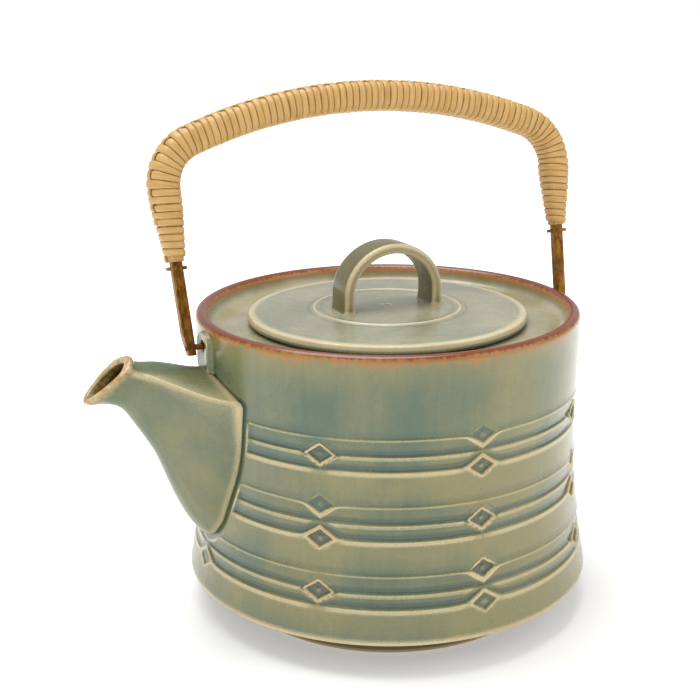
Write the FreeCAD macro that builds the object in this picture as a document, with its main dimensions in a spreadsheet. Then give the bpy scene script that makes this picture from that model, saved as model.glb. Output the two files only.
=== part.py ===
"""Stoneware teapot with a loose lid and a cane-bound brass bail.

Frame: +Z up, the origin on the table at the centre of the foot ring, the spout towards -X,
and the plane of the spout and the bail's hinge pins at Y = 0. Millimetres throughout.

The pot, the lid and the bail are three bodies. The bail's pieces are drawn in the bail's own
frame, whose origin is on the pin axis and whose +Z runs up the bail, and are then placed.
"""
import FreeCAD, Part
import math
import os
import re

import Sketcher

V = FreeCAD.Vector
doc = FreeCAD.newDocument("teapot")

# ---------------------------------------------------------------- driving dimensions

SIZES = {
    # pot
    "body_height": 119.0,       # table to the crest of the rim
    "rim_radius": 75.4,         # outside of the rim
    "lip_width": 4.9,           # rim, outside to inside
    "waist_in": 0.6,            # the narrowest part of the wall lies this far inside the rim
    "waist_height": 77.0,
    "base_out": 5.9,            # the edge where the wall turns under lies this far outside the rim
    "base_height": 13.6,        # height of that edge
    "edge_round": 1.3,
    "foot_in": 18.3,            # the foot ring stands this far inside the base edge
    "foot_width": 6.0,
    "foot_height": 8.0,         # from the table to the underside of the pot
    "foot_recess": 4.0,         # hollow inside the foot ring
    "wall": 4.8,
    "floor_thick": 6.0,
    "gallery_thick": 5.0,       # flange that the lid sits on
    "gallery_slope": 4.0,       # fall of the flange's underside towards the wall
    # lid
    "lid_radius": 55.1,
    "lid_edge": 3.8,            # thickness at the rim of the lid
    "lid_set": 2.2,             # the lid's edge lies this far below the crest
    "lid_rise": 2.0,            # crown of the lid over its edge
    "lid_thick": 4.2,           # in the middle
    "bead_radius": 28.8,        # raised line round the lid
    "bead_width": 1.6,
    "bead_rise": 0.6,
    "lid_seat": 7.5,            # width of the lid's seat, outside the ring that keeps it in the mouth
    "skirt_wall": 3.6,          # that ring's wall
    "skirt_depth": 9.0,
    "vent_radius": 1.25,
    "seat_gap": 0.3,            # lid to gallery, all round
    "lid_play": 1.2,            # skirt to mouth, on the radius
    # strap handle on the lid
    "strap_span": 19.0,         # half span, to the middle of the strap
    "strap_height": 23.0,       # crown of its middle line over the crest
    "strap_corner": 16.0,
    "strap_crown": 20.0,
    "strap_width": 14.0,
    "strap_thick": 4.0,
    # ears and hinge pins
    "pin_drop": 7.8,            # pin axis below the crest
    "pin_radius": 1.1,
    "pin_sunk": 0.6,            # pin's outer end below the outside of the bar
    "pin_play": 1.1,            # the hole in the ear is loose on its pin, by this on the radius
    "hole_depth": 4.6,          # from the ear's face
    "pin_end_gap": 1.2,         # pin's end to the bottom of its hole
    "ear_proud": 1.8,           # ear's flat face outside the rim
    "ear_half": 6.0,
    "ear_top": 2.6,             # top of the ear below the crest
    "ear_bottom": 17.5,         # bottom of the ear below the crest
    # bail
    "bail_lean": 13.0,          # degrees from upright, towards +Y
    "bail_gap": 2.7,            # ear's face to the inside of the bar, at the pins
    "bail_height": 89.0,        # crown of the middle line over the pins
    "bail_flare": 2.6,          # degrees that each leg leans outwards
    "bail_corner": 18.0,
    "crown_rise": 17.1,         # the crown's arc, from its ends over the pins to its middle
    "bar_thick": 4.2,           # along X on the legs
    "bar_width": 3.8,           # along Y
    "bar_tail": 3.0,            # bar below the pins
    "taper_height": 8.8,        # cut on the outside of each tail
    "taper_depth": 1.5,
    "collar_gap": 2.4,          # middle of the collar below the end of the cane
    "collar_thick": 1.3,
    "collar_proud": 1.5,
    # cane
    "cane_drop": 57.0,          # end of the binding below the bail's crown
    "full_drop": 34.0,          # where the grip has its full section, below the crown
    "grip_thick": 11.4,         # in the plane of the bail
    "grip_width": 12.0,         # along Y
    "grip_end_thick": 7.6,
    "grip_end_width": 7.4,
    "grip_round": 2.6,
    "grip_end_round": 1.8,
    "strip_thick": 1.0,         # thickness of the cane strip
    "runner_width": 3.0,
    "runner_thick": 0.8,
    "runner_drop": 43.0,        # end of the runner below the crown
}

# The spout is drawn through five shield-shaped stations. out is the distance from the pot's waist
# to the station's highest point and drop the depth of that point below the crest. tilt turns the
# station's foot outwards, half and roof place its two shoulders, depth is its length, and
# keel is the half width where its rounded keel begins.
STATIONS = {
    "root": {"out": -14.8, "drop": 16.6, "tilt": 0.0, "half": 30.5, "roof": 8.6, "depth": 66.4, "keel": 13.0},
    "cheek": {"out": 3.2, "drop": 15.2, "tilt": 1.5, "half": 22.4, "roof": 7.4, "depth": 67.6, "keel": 8.6},
    "bend": {"out": 15.7, "drop": 11.9, "tilt": 12.0, "half": 14.0, "roof": 6.0, "depth": 37.0, "keel": 6.4},
    "neck": {"out": 23.7, "drop": 9.7, "tilt": 27.0, "half": 9.4, "roof": 4.6, "depth": 22.4, "keel": 5.2},
    "spill": {"out": 30.3, "drop": 8.0, "tilt": 51.8, "half": 7.5, "roof": 4.6, "depth": 23.2, "keel": 4.4},
}
for station, values in STATIONS.items():
    for part, value in values.items():
        SIZES[station + "_" + part] = value
SIZES.update({
    "keel_rise": 0.16,          # height of the rounded keel, as a share of the station's depth
    "side_bow": 0.05,           # bulge of the spout's sides, as a share of the depth
    "spout_wall": 2.2,
    "strainer_radius": 2.4,
    "strainer_pitch": 9.5,
    "strainer_top": 34.0,       # first row of strainer holes below the crest
})

sheet = doc.addObject("Spreadsheet::Sheet", "sizes")
for row, (alias, value) in enumerate(SIZES.items(), start=1):
    sheet.set("A%d" % row, alias)
    sheet.set("B%d" % row, str(value))
    sheet.setAlias("B%d" % row, alias)
doc.recompute()


# ---------------------------------------------------------------- helpers

def bound(text):
    """The expression with each size's name pointing into the sheet."""
    return re.sub(r"[a-z_]+", lambda m: "sizes." + m.group() if m.group() in SIZES else m.group(), text)


def value_of(text):
    """The expression's present value, as a plain number."""
    result = sheet.evalExpression(bound(text))
    return float(getattr(result, "Value", result))


def bind(thing, **places):
    """Bind properties of an object to expressions; a dot is written as two underscores."""
    for name, text in places.items():
        thing.setExpression(name.replace("__", "."), bound(text))


def place(thing, x="0", y="0", z="0", axis=V(0, 0, 1), angle="0"):
    """Bind an object's Placement: a turn about an axis through its origin, then a move."""
    thing.Placement = FreeCAD.Placement(V(), FreeCAD.Rotation(axis, 90))
    bind(thing, Placement__Base__x=x, Placement__Base__y=y, Placement__Base__z=z,
         Placement__Rotation__Angle=angle)


def new_body(name):
    return doc.addObject("PartDesign::Body", name)


def new_sketch(body, name, plane, **offset):
    """A sketch on one of the body's own planes, moved off it by bound offsets."""
    sketch = body.newObject("Sketcher::SketchObject", name)
    base = [f for f in body.Origin.OriginFeatures if f.Role == plane][0]
    sketch.AttachmentSupport = (base, [""])
    sketch.MapMode = "FlatFace"
    for axis, text in offset.items():
        sketch.setExpression(".AttachmentOffset.Base." + axis, bound(text))
    return sketch


class Rules:
    """The constraints of one sketch, gathered and then added at once."""

    def __init__(self, sketch):
        self.sketch = sketch
        self.entries = []

    def add(self, constraint, text=None):
        self.entries.append((constraint, text))

    def hold(self, geometry, end, x, y):
        """Hold one end of a line or arc at (x, y), given as expressions."""
        for kind, text in (("DistanceX", x), ("DistanceY", y)):
            amount = value_of(text)
            if abs(amount) < 1e-9:
                axis = -2 if kind == "DistanceX" else -1
                self.add(Sketcher.Constraint("PointOnObject", geometry, end, axis))
            elif amount > 0:
                self.add(Sketcher.Constraint(kind, -1, 1, geometry, end, amount), text)
            else:
                self.add(Sketcher.Constraint(kind, geometry, end, -1, 1, -amount), "-(" + text + ")")

    def apply(self):
        self.sketch.addConstraint([constraint for constraint, _ in self.entries])
        for index, (_, text) in enumerate(self.entries):
            if text:
                self.sketch.setExpression("Constraints[%d]" % index, bound(text))


def add_arc(sketch, start, through, stop):
    """An arc through three points; a sketch keeps its arcs anticlockwise."""
    clockwise = (through - start).cross(stop - through).z < 0
    arc = Part.Arc(stop, through, start) if clockwise else Part.Arc(start, through, stop)
    return sketch.addGeometry(arc)


def end_at(sketch, index, point):
    """Which end of a line or arc in the sketch lies at the point."""
    return 1 if sketch.Geometry[index].StartPoint.distanceToPoint(point) < 1e-6 else 2


def outline(sketch, corners):
    """A closed outline through corners (x, y) or (x, y, bow), all expressions.

    bow is how far the stretch to the next corner bulges to the right of the way it runs.
    """
    rules = Rules(sketch)
    points = [V(value_of(c[0]), value_of(c[1]), 0) for c in corners]
    count = len(corners)
    edges = []
    for i, corner in enumerate(corners):
        start, stop = points[i], points[(i + 1) % count]
        if len(corner) == 2:
            edges.append(sketch.addGeometry(Part.LineSegment(start, stop)))
            continue
        along = stop - start
        right = V(along.y, -along.x, 0).normalize()
        edges.append(add_arc(sketch, start, (start + stop) * 0.5 + right * value_of(corner[2]), stop))
        following = corners[(i + 1) % count]
        chord = "((%s) - (%s))^2 + ((%s) - (%s))^2" % (following[0], corner[0], following[1], corner[1])
        radius = "(%s) / (8 * abs(%s)) + abs(%s) / 2" % (chord, corner[2], corner[2])
        rules.add(Sketcher.Constraint("Radius", edges[-1], value_of(radius)), radius)
    for i, index in enumerate(edges):
        after = (i + 1) % count
        rules.add(Sketcher.Constraint("Coincident", index, end_at(sketch, index, points[after]),
                                      edges[after], end_at(sketch, edges[after], points[after])))
        rules.hold(index, end_at(sketch, index, points[i]), corners[i][0], corners[i][1])
    rules.apply()


def revolved(name, corners):
    """A body turned about Z from an outline in the XZ plane."""
    body = new_body(name)
    sketch = new_sketch(body, name + "_section", "XZ_Plane")
    outline(sketch, corners)
    turn = body.newObject("PartDesign::Revolution", name + "_turned")
    turn.Profile = sketch
    turn.ReferenceAxis = (sketch, ["V_Axis"])
    turn.Angle = 360
    doc.recompute()
    return body


def round_circles(body, name, radius, spots):
    """Round the circular edges that pass through the spots (radius, height), as expressions."""
    tip = body.Tip
    names = []
    for far, up in spots:
        spot = V(value_of(far), 0, value_of(up))
        for i, edge in enumerate(tip.Shape.Edges, start=1):
            if edge.distToShape(Part.Vertex(spot))[0] < 1e-4 and edge.BoundBox.ZLength < 1e-6:
                names.append("Edge%d" % i)
    fillet = body.newObject("PartDesign::Fillet", name)
    fillet.Base = (tip, names)
    bind(fillet, Radius=radius)
    doc.recompute()
    return fillet


def boolean(kind, name, base, tool):
    """Part::Cut or Part::Common of two objects."""
    result = doc.addObject("Part::" + kind, name)
    result.Base = base
    result.Tool = tool
    return result


def together(name, pieces):
    """Part::MultiFuse of several objects."""
    result = doc.addObject("Part::MultiFuse", name)
    result.Shapes = pieces
    return result


def rod(name, radius, length, x, z, y="0"):
    """A cylinder along +X from (x, y, z)."""
    cylinder = doc.addObject("Part::Cylinder", name)
    bind(cylinder, Radius=radius, Height=length)
    place(cylinder, x, y, z, V(0, 1, 0), "90")
    return cylinder


# ---------------------------------------------------------------- places worked out from the sizes

WAIST = "(rim_radius - waist_in)"
BASE = "(rim_radius + base_out)"
FOOT = "(" + BASE + " - foot_in)"
SKIRT = "(lid_radius - lid_seat)"
HOLE = "(pin_radius + pin_play)"
PIN_HEIGHT = "(body_height - pin_drop)"
EAR_FACE = "(rim_radius + ear_proud)"
BAIL_SPAN = "(" + EAR_FACE + " + bail_gap + bar_thick / 2)"
BAIL_CROWN = "((" + BAIL_SPAN + "^2 + crown_rise^2) / (2 * crown_rise))"
CANE_START = "(bail_height - cane_drop)"
CANE_FULL = "(bail_height - full_drop)"
RUNNER_START = "(bail_height - runner_drop)"
COLLAR = "(" + CANE_START + " - collar_gap)"


# ---------------------------------------------------------------- pot body

MOUTH = SKIRT + " + lid_play"
GALLERY = "body_height - lid_set - lid_edge - seat_gap"
INNER = "rim_radius - lip_width"
CEILING = GALLERY + " - gallery_thick"
BELLY = "base_height + wall"
FLOOR = "foot_recess + floor_thick"
# the wall is hollow between its waist and the base edge, and leaves the waist upright
FLARE_CHORD = "sqrt((base_out + waist_in)^2 + (waist_height - base_height)^2)"
FLARE = "-" + FLARE_CHORD + " / 2 * tan(atan((base_out + waist_in) / (waist_height - base_height)) / 2)"

envelope = revolved("pot_envelope", [
    ("0", "foot_recess"),
    (FOOT + " - foot_width", "foot_recess"),
    (FOOT + " - foot_width", "0"),
    (FOOT, "0"),
    (FOOT + " + 1", "foot_height"),
    (BASE, "base_height", FLARE),
    (WAIST, "waist_height"),
    ("rim_radius", "body_height"),
    ("0", "body_height"),
])
round_circles(envelope, "base_edge_round", "edge_round", [(BASE, "base_height")])

cavity = revolved("pot_cavity", [
    ("0", FLOOR),
    (FOOT + " - foot_width", FLOOR),
    (BASE + " - wall", BELLY),
    (WAIST + " - wall", "waist_height"),
    (WAIST + " - wall", CEILING + " - gallery_slope"),
    (MOUTH, CEILING),
    (MOUTH, GALLERY),
    (INNER, GALLERY),
    (INNER, "body_height + 1"),
    ("0", "body_height + 1"),
])

# the holes for the hinge pins, and the strainer behind the spout
hole_back = rod("pin_hole_back", HOLE, "hole_depth + 1", EAR_FACE + " - hole_depth", PIN_HEIGHT)
hole_spout = rod("pin_hole_spout", HOLE, "hole_depth + 1", "-" + EAR_FACE + " - 1", PIN_HEIGHT)
STRAINER_ROWS = (3, 4, 3, 2)
strainer = []
for level, across in enumerate(STRAINER_ROWS):
    height = "body_height - strainer_top - %d * strainer_pitch" % level
    for column in range(across):
        side = "%.1f * strainer_pitch" % (column - (across - 1) / 2)
        name = "strainer_%d_%d" % (level, column)
        strainer.append(rod(name, "strainer_radius", "4 * wall", "-" + WAIST + " - wall", height, side))

pot_shell = boolean("Cut", "pot_shell", envelope, cavity)
pot_openings = together("pot_openings", [hole_back, hole_spout] + strainer)
pot_body = boolean("Cut", "pot_body", pot_shell, pot_openings)


# ---------------------------------------------------------------- spout

def spout_body(name, inset):
    """The spout's loft, or its channel when inset is the wall that the channel leaves."""
    body = new_body(name)
    sketches = []
    for station in STATIONS:
        half = "(%s_half - %s)" % (station, inset)
        depth = "(%s_depth - 1.7 * %s)" % (station, inset)
        keel = "(%s_keel - 0.6 * %s)" % (station, inset)
        rise = "(keel_rise * %s)" % depth
        sketch = new_sketch(body, name + "_" + station, "YZ_Plane")
        tilt = value_of(station + "_tilt")
        drop = inset + " * cos(%s_tilt * 1deg)" % station
        push = inset + " * sin(%s_tilt * 1deg)" % station
        sketch.AttachmentOffset = FreeCAD.Placement(V(), FreeCAD.Rotation(V(1, 0, 0), max(tilt, 1)))
        bind(sketch, AttachmentOffset__Rotation__Angle="%s_tilt" % station,
             AttachmentOffset__Base__y="body_height - %s_drop - %s" % (station, drop),
             AttachmentOffset__Base__z="-(%s + %s_out + %s)" % (WAIST, station, push))
        outline(sketch, [
            ("0", "0"),
            ("-" + half, "-%s_roof" % station, "side_bow * " + depth),
            ("-" + keel, "%s - %s" % (rise, depth), rise),
            (keel, "%s - %s" % (rise, depth), "side_bow * " + depth),
            (half, "-%s_roof" % station),
        ])
        sketches.append(sketch)
    loft = body.newObject("PartDesign::AdditiveLoft", name + "_loft")
    loft.Profile = sketches[0]
    loft.Sections = sketches[1:]
    doc.recompute()
    return body


spout_outside = spout_body("spout_outside", "0")
spout_channel = spout_body("spout_channel", "spout_wall")
spout_tube = boolean("Cut", "spout_tube", spout_outside, spout_channel)
spout = boolean("Cut", "spout", spout_tube, envelope)


# ---------------------------------------------------------------- ears

def ear_blank(name, side):
    """A flat pad with rounded ends, standing out from the axis to the ear's face along X."""
    body = new_body(name)
    sketch = new_sketch(body, name + "_face", "YZ_Plane")
    top, bottom = "body_height - ear_top - ear_half * 0.7", "body_height - ear_bottom"
    outline(sketch, [("-ear_half", bottom), ("ear_half", bottom),
                     ("ear_half", top, "ear_half * 0.7"), ("-ear_half", top)])
    pad = body.newObject("PartDesign::Pad", name + "_pad")
    pad.Profile = sketch
    pad.Reversed = side < 0
    bind(pad, Length=EAR_FACE)
    return body


ear_back_pad = boolean("Cut", "ear_back_pad", ear_blank("ear_back_blank", 1), envelope)
ear_back = boolean("Cut", "ear_back", ear_back_pad, hole_back)
ear_spout_pad = boolean("Cut", "ear_spout_pad", ear_blank("ear_spout_blank", -1), envelope)
ear_spout_seat = boolean("Cut", "ear_spout_seat", ear_spout_pad, spout_outside)
ear_spout = boolean("Cut", "ear_spout", ear_spout_seat, hole_spout)


# ---------------------------------------------------------------- lid

LID_UNDER = "body_height - lid_set - lid_edge"
LID_EDGE_TOP = "body_height - lid_set"
LID_CROWN = LID_EDGE_TOP + " + lid_rise"
# the lid's top falls evenly from its crown to its edge
BEAD_LEVEL = "(" + LID_CROWN + " - lid_rise * bead_radius / lid_radius)"
lid = revolved("lid", [
    ("vent_radius", LID_CROWN + " - lid_thick"),
    (SKIRT + " - skirt_wall", LID_UNDER),
    (SKIRT + " - skirt_wall", LID_UNDER + " - skirt_depth"),
    (SKIRT, LID_UNDER + " - skirt_depth"),
    (SKIRT, LID_UNDER),
    ("lid_radius", LID_UNDER, "lid_edge * 0.45"),
    ("lid_radius", LID_EDGE_TOP),
    ("bead_radius + bead_width / 2", BEAD_LEVEL, "bead_rise"),
    ("bead_radius - bead_width / 2", BEAD_LEVEL),
    ("vent_radius", LID_CROWN),
])


# ---------------------------------------------------------------- arches: the bail and the lid's strap

def arch(sketch, span, start, flare, corner, crown, height):
    """An open path: leg, corner, crown, corner, leg, each stretch tangent to the next.

    span is the half span at height 0, start the height where the legs begin.
    """
    lean = math.radians(value_of(flare))
    rise, low = value_of(height), value_of(start)
    small, big = value_of(corner), value_of(crown)
    middle = V(0, rise - big, 0)
    foot = V(value_of(span), 0, 0)
    along = V(math.sin(lean), math.cos(lean), 0)
    inwards = V(-math.cos(lean), math.sin(lean), 0)
    base = foot + inwards * small - middle
    reach = big - small
    half_b = base.dot(along)
    climb = -half_b + math.sqrt(half_b * half_b - base.dot(base) + reach * reach)
    elbow = foot + inwards * small + along * climb
    top_of_leg = foot + along * climb
    meeting = middle + (elbow - middle).normalize() * big
    begin = foot + along * (low / math.cos(lean))
    halfway = elbow + ((top_of_leg - elbow) + (meeting - elbow)).normalize() * small

    def mirrored(point):
        return V(-point.x, point.y, 0)

    left_leg = sketch.addGeometry(Part.LineSegment(mirrored(begin), mirrored(top_of_leg)))
    left_arc = add_arc(sketch, mirrored(top_of_leg), mirrored(halfway), mirrored(meeting))
    crown_arc = add_arc(sketch, mirrored(meeting), middle + V(0, big, 0), meeting)
    right_arc = add_arc(sketch, meeting, halfway, top_of_leg)
    right_leg = sketch.addGeometry(Part.LineSegment(begin, top_of_leg))

    rules = Rules(sketch)
    chain = [(left_leg, left_arc, mirrored(top_of_leg)), (left_arc, crown_arc, mirrored(meeting)),
             (crown_arc, right_arc, meeting), (right_arc, right_leg, top_of_leg)]
    for first, second, point in chain:
        rules.add(Sketcher.Constraint("Tangent", first, end_at(sketch, first, point),
                                      second, end_at(sketch, second, point)))
    for index, text in ((left_arc, corner), (right_arc, corner), (crown_arc, crown)):
        rules.add(Sketcher.Constraint("Radius", index, value_of(text)), text)
    for index, text in ((left_leg, "90deg + (%s) * 1deg"), (right_leg, "90deg - (%s) * 1deg")):
        angle = text % flare
        rules.add(Sketcher.Constraint("Angle", index, math.radians(value_of(angle))), angle)
    begin_x = "(%s + (%s) * tan((%s) * 1deg))" % (span, start, flare)
    rules.hold(left_leg, 1, "-" + begin_x, start)
    rules.hold(right_leg, 1, begin_x, start)
    rules.hold(crown_arc, 3, "0", "(%s) - (%s)" % (height, crown))
    rules.apply()
    return sketch


def rounded_slab(sketch, x, thick, width, radius=None):
    """A rectangle centred at (x, 0), with bevelled corners where radius is given."""
    left, right = "%s - %s / 2" % (x, thick), "%s + %s / 2" % (x, thick)
    near, far = "-" + width + " / 2", width + " / 2"
    if radius is None:
        outline(sketch, [(left, near), (right, near), (right, far), (left, far)])
        return
    bow = "%s * 0.2" % radius
    outline(sketch, [
        ("%s + %s" % (left, radius), near), ("%s - %s" % (right, radius), near, bow),
        (right, "%s + %s" % (near, radius)), (right, "%s - %s" % (far, radius), bow),
        ("%s - %s" % (right, radius), far), ("%s + %s" % (left, radius), far, bow),
        (left, "%s - %s" % (far, radius)), (left, "%s + %s" % (near, radius), bow),
    ])


def swept(body, name, path, section):
    """Sweep a section sketch along a path sketch."""
    pipe = body.newObject("PartDesign::AdditivePipe", name)
    pipe.Profile = section
    pipe.Spine = (path, [])
    doc.recompute()
    return pipe


def leg_x(height):
    """Half span of the bail's middle line at a height over the pins."""
    return "(%s + (%s) * tan(bail_flare * 1deg))" % (BAIL_SPAN, height)


BAIL = {"span": BAIL_SPAN, "flare": "bail_flare", "corner": "bail_corner",
        "crown": BAIL_CROWN, "height": "bail_height"}


def grip(name, inset):
    """The bound grip as a solid, made smaller all round by inset: two tapered legs and the arch."""
    body = new_body(name)
    thick, width = "(grip_thick - 2 * %s)" % inset, "(grip_width - 2 * %s)" % inset
    end_thick, end_width = "(grip_end_thick - 2 * %s)" % inset, "(grip_end_width - 2 * %s)" % inset
    corner, end_corner = "(grip_round - %s / 2)" % inset, "(grip_end_round - %s / 2)" % inset
    path = new_sketch(body, name + "_path", "XZ_Plane")
    arch(path, start=CANE_FULL, **BAIL)
    section = new_sketch(body, name + "_section", "XY_Plane", z=CANE_FULL)
    rounded_slab(section, "-" + leg_x(CANE_FULL), thick, width, corner)
    swept(body, name + "_arch", path, section)
    for side, sign in (("spout", "-"), ("back", "")):
        upper = new_sketch(body, name + "_upper_" + side, "XY_Plane", z=CANE_FULL)
        rounded_slab(upper, sign + leg_x(CANE_FULL), thick, width, corner)
        lower = new_sketch(body, name + "_lower_" + side, "XY_Plane", z=CANE_START)
        rounded_slab(lower, sign + leg_x(CANE_START), end_thick, end_width, end_corner)
        loft = body.newObject("PartDesign::AdditiveLoft", name + "_leg_" + side)
        loft.Profile = lower
        loft.Sections = [upper]
        doc.recompute()
    return body


def on_bail(thing):
    """Place a piece drawn in the bail's frame."""
    place(thing, z=PIN_HEIGHT, axis=V(1, 0, 0), angle="-bail_lean")
    return thing


def trimmed(name, body, tools):
    """The body less its tools, on the bail."""
    cutter = together(name + "_tools", tools) if len(tools) > 1 else tools[0]
    return on_bail(boolean("Cut", name, body, cutter))


# lid strap: swept along its arch, its feet cut to the lid's top
strap_blank = new_body("strap_blank")
strap_path = new_sketch(strap_blank, "strap_path", "XZ_Plane")
arch(strap_path, "strap_span", "-lid_edge", "0", "strap_corner", "strap_crown", "strap_height")
strap_section = new_sketch(strap_blank, "strap_section", "XY_Plane", z="-lid_edge")
rounded_slab(strap_section, "-strap_span", "strap_thick", "strap_width", "strap_thick / 3")
swept(strap_blank, "strap_sweep", strap_path, strap_section)
place(strap_blank, z="body_height")
lid_handle = boolean("Cut", "lid_handle", strap_blank, lid)

# brass bar: one length, bent like the grip, with the outside of each tail cut to a taper
bar_blank = new_body("bar_blank")
bar_path = new_sketch(bar_blank, "bar_path", "XZ_Plane")
arch(bar_path, start="-bar_tail", **BAIL)
bar_section = new_sketch(bar_blank, "bar_section", "XY_Plane", z="-bar_tail")
rounded_slab(bar_section, "-" + leg_x("-bar_tail"), "bar_thick", "bar_width", "bar_thick / 8")
swept(bar_blank, "bar_sweep", bar_path, bar_section)

# a wedge off the outside of each tail, from nothing at taper_height to taper_depth at the tip
TIP = leg_x("-bar_tail") + " + bar_thick / 2"


def tail_wedge(name, sign):
    body = new_body(name)
    sketch = new_sketch(body, name + "_face", "XZ_Plane")
    shoulder = leg_x("taper_height - bar_tail") + " + bar_thick / 2"
    corners = [(sign + "(" + TIP + " - taper_depth)", "-bar_tail - 1"),
               (sign + "(" + TIP + " + 2)", "-bar_tail - 1"),
               (sign + "(" + shoulder + " + 2)", "taper_height - bar_tail"),
               (sign + "(" + shoulder + ")", "taper_height - bar_tail")]
    outline(sketch, corners)
    pad = body.newObject("PartDesign::Pad", name + "_pad")
    pad.Profile = sketch
    pad.SideType = "Symmetric"
    bind(pad, Length="2 * bar_width")
    return body


# each pin runs from inside its hole in the ear to just short of the outside of the bar
PIN_INNER = "(" + EAR_FACE + " - hole_depth + pin_end_gap)"
PIN_LENGTH = "(" + BAIL_SPAN + " + bar_thick / 2 - pin_sunk - " + PIN_INNER + ")"


def hinge_pin(name, side, height="0"):
    start = PIN_INNER if side > 0 else "-" + PIN_INNER + " - " + PIN_LENGTH
    return rod(name, "pin_radius", PIN_LENGTH, start, height)


def collar_blank(name, sign):
    """A washer squeezed onto the leg, square to it."""
    body = new_body(name)
    sketch = new_sketch(body, name + "_face", "XY_Plane", z=COLLAR + " - collar_thick / 2")
    rounded_slab(sketch, sign + leg_x(COLLAR), "(bar_thick + 2 * collar_proud)",
                 "(bar_width + 2 * collar_proud)", "collar_proud * 1.2")
    pad = body.newObject("PartDesign::Pad", name + "_pad")
    pad.Profile = sketch
    bind(pad, Length="collar_thick")
    return body


def half_space(name, side):
    """A block that covers the bail on one side of Y = 0."""
    block = doc.addObject("Part::Box", name)
    bind(block, Length="4 * " + BAIL_SPAN, Width="2 * grip_width", Height="3 * bail_height")
    place(block, x="-2 * " + BAIL_SPAN, y="0" if side > 0 else "-2 * grip_width", z="-bail_height")
    return block


pin_spout_tool = hinge_pin("pin_spout_tool", -1)
pin_back_tool = hinge_pin("pin_back_tool", 1)
bail_bar = trimmed("bail_bar", bar_blank, [tail_wedge("wedge_spout", "-"), tail_wedge("wedge_back", ""),
                                           pin_spout_tool, pin_back_tool])
pins = [hinge_pin("pivot_pin_" + name, side, PIN_HEIGHT) for name, side in (("spout", -1), ("back", 1))]
collars = [trimmed("collar_" + name, collar_blank("collar_blank_" + name, sign), [bar_blank])
           for name, sign in (("spout", "-"), ("back", ""))]

# the grip: two half canes round the bar, the cane binding over them, the runner outside
padding = grip("cane_padding", "strip_thick")
padding_tube = boolean("Cut", "cane_padding_tube", padding, bar_blank)
half_canes = [on_bail(boolean("Common", "half_cane_" + name, padding_tube, half_space("block_" + name, side)))
              for name, side in (("front", -1), ("rear", 1))]
cane_binding = trimmed("cane_binding", grip("grip_outside", "0"), [padding])

runner_body = new_body("runner_blank")
runner_path = new_sketch(runner_body, "runner_path", "XZ_Plane")
OUT = "(grip_thick / 2 + runner_thick / 2)"
arch(runner_path, BAIL_SPAN + " + " + OUT + " / cos(bail_flare * 1deg)", RUNNER_START, "bail_flare",
     "bail_corner + " + OUT, BAIL_CROWN + " + " + OUT, "bail_height + " + OUT)
runner_section = new_sketch(runner_body, "runner_section", "XY_Plane", z=RUNNER_START)
rounded_slab(runner_section, "-(" + leg_x(RUNNER_START) + " + " + OUT + " / cos(bail_flare * 1deg))",
             "runner_thick", "runner_width")
swept(runner_body, "runner_sweep", runner_path, runner_section)
cane_runner = on_bail(runner_body)
cane_runner.Label = "cane_runner"

NODES = {
    "pot_body": pot_body, "spout": spout, "ear_spout": ear_spout, "ear_back": ear_back,
    "lid": lid, "lid_handle": lid_handle,
    "bail_bar": bail_bar, "pivot_pin_spout": pins[0], "pivot_pin_back": pins[1],
    "collar_spout": collars[0], "collar_back": collars[1],
    "half_cane_front": half_canes[0], "half_cane_rear": half_canes[1],
    "cane_binding": cane_binding, "cane_runner": cane_runner,
}


# ---------------------------------------------------------------- check and write

doc.recompute()
for thing in doc.Objects:
    if {"Invalid", "Error"} & set(thing.State):
        raise RuntimeError("%s did not build: %s" % (thing.Name, thing.State))
for name, thing in NODES.items():
    if thing.Shape.isNull() or not thing.Shape.isValid() or not thing.Shape.Solids:
        raise RuntimeError("%s has no valid solid" % name)

os.makedirs("parts", exist_ok=True)
for name, thing in NODES.items():
    thing.Shape.exportStep("parts/%s.step" % name)
    print("%-16s %8.2f cm3" % (name, thing.Shape.Volume / 1000))
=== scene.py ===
from math import atan2, cos, exp, floor, pi, radians, sin, sqrt, tan

import bmesh
import bpy
import numpy as np
from mathutils import Matrix, Vector


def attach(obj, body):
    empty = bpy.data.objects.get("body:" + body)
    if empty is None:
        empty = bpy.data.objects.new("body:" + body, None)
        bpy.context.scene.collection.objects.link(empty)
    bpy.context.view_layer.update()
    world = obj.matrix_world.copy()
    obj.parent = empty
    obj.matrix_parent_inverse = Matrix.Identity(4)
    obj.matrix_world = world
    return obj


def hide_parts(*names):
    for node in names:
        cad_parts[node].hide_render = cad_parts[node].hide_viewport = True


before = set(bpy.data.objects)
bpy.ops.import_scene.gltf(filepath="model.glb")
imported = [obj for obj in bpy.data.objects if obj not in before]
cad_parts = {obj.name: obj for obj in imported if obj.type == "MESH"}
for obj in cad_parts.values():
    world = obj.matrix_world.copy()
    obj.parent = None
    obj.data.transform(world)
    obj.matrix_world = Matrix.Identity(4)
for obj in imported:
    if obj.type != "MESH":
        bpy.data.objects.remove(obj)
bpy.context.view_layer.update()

# Everything is drawn in millimetres and scaled to metres when a piece is finished.
MM = 0.001

# -------------------- sizes

CREST = 119.0               # top of the rim over the table
RIM = 75.4                  # outside radius of the rim
LIP, LIP_ROUND = 4.9, 2.3   # width of the lip, and the radius of both its edges
WAIST, WAIST_UP = 74.8, 77.0
BASE, BASE_UP = 81.3, 13.6
FOOT, FOOT_UP, FOOT_WIDE, FOOT_RECESS = 63.0, 8.0, 6.0, 4.0
WALL = 4.8
SEAT = 112.7                # shelf that the lid lies on
MOUTH = 48.8
CEILING = 107.7             # underside of the shelf
FLOOR = 10.0                # inside

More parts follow.
